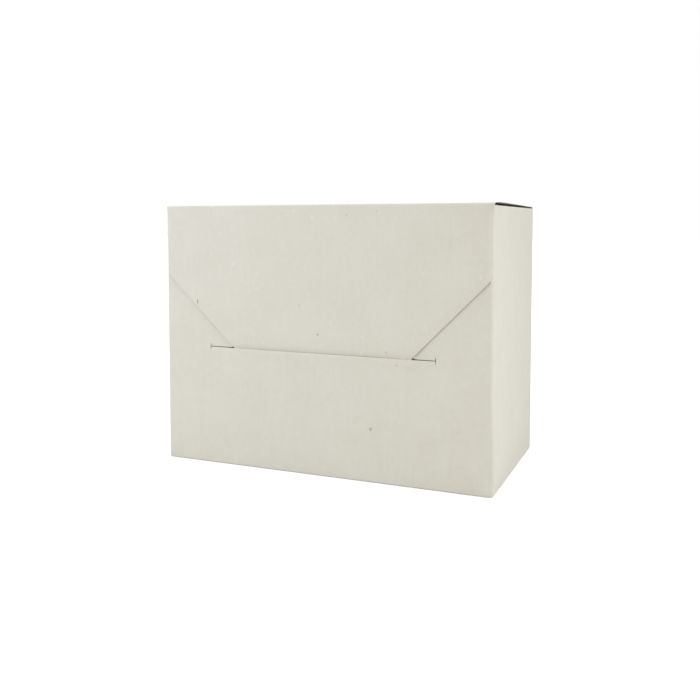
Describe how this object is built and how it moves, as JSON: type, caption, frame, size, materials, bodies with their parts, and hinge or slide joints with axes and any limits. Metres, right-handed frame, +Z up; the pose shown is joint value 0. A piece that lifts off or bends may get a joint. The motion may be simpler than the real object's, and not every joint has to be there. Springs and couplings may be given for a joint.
{
  "type": "archive box",
  "caption": "Archive box of folded corrugated board, with a hinged lid whose tapered closing flap tucks into a slit in the front wall.",
  "frame": {"origin": "on the floor, under the centre of the box's footprint", "axes": "+X along the width, to the right seen from the front; +Y from the front with the closing flap to the back wall with the lid's crease; +Z up"},
  "size_m": [0.34, 0.18, 0.26],
  "materials": {
    "recycled_board": "matte recycled paper liner with fine flecks"
  },
  "bodies": {
    "box": {"front_wall": "recycled_board", "back_wall": "recycled_board", "left_wall": "recycled_board", "right_wall": "recycled_board", "glue_tab": "recycled_board", "front_bottom_flap": "recycled_board", "bottom_lock_tab": "recycled_board", "left_bottom_flap": "recycled_board", "right_bottom_flap": "recycled_board", "back_bottom_flap": "recycled_board"},
    "lid": {"lid": "recycled_board"},
    "flap": {"front_flap": "recycled_board"},
    "tongue": {"tongue": "recycled_board"}
  },
  "joints": [
    {"name": "lid_hinge", "type": "hinge", "parent": "box", "child": "lid", "pos_m": [0, 0.09, 0.26], "axis": [-1, 0, 0], "range_deg": [0, 175]},
    {"name": "flap_fold", "type": "hinge", "parent": "lid", "child": "flap", "pos_m": [0, -0.09, 0.26], "axis": [-1, 0, 0], "range_deg": [0, 90]},
    {"name": "tongue_fold", "type": "hinge", "parent": "flap", "child": "tongue", "pos_m": [0, -0.09, 0.1195], "axis": [-1, 0, 0], "range_deg": [0, 45], "deforming": ["tongue"]}
  ],
  "couplings": [
    {"joint": "tongue_fold", "follows": "flap_fold", "ratio": 0.5}
  ]
}
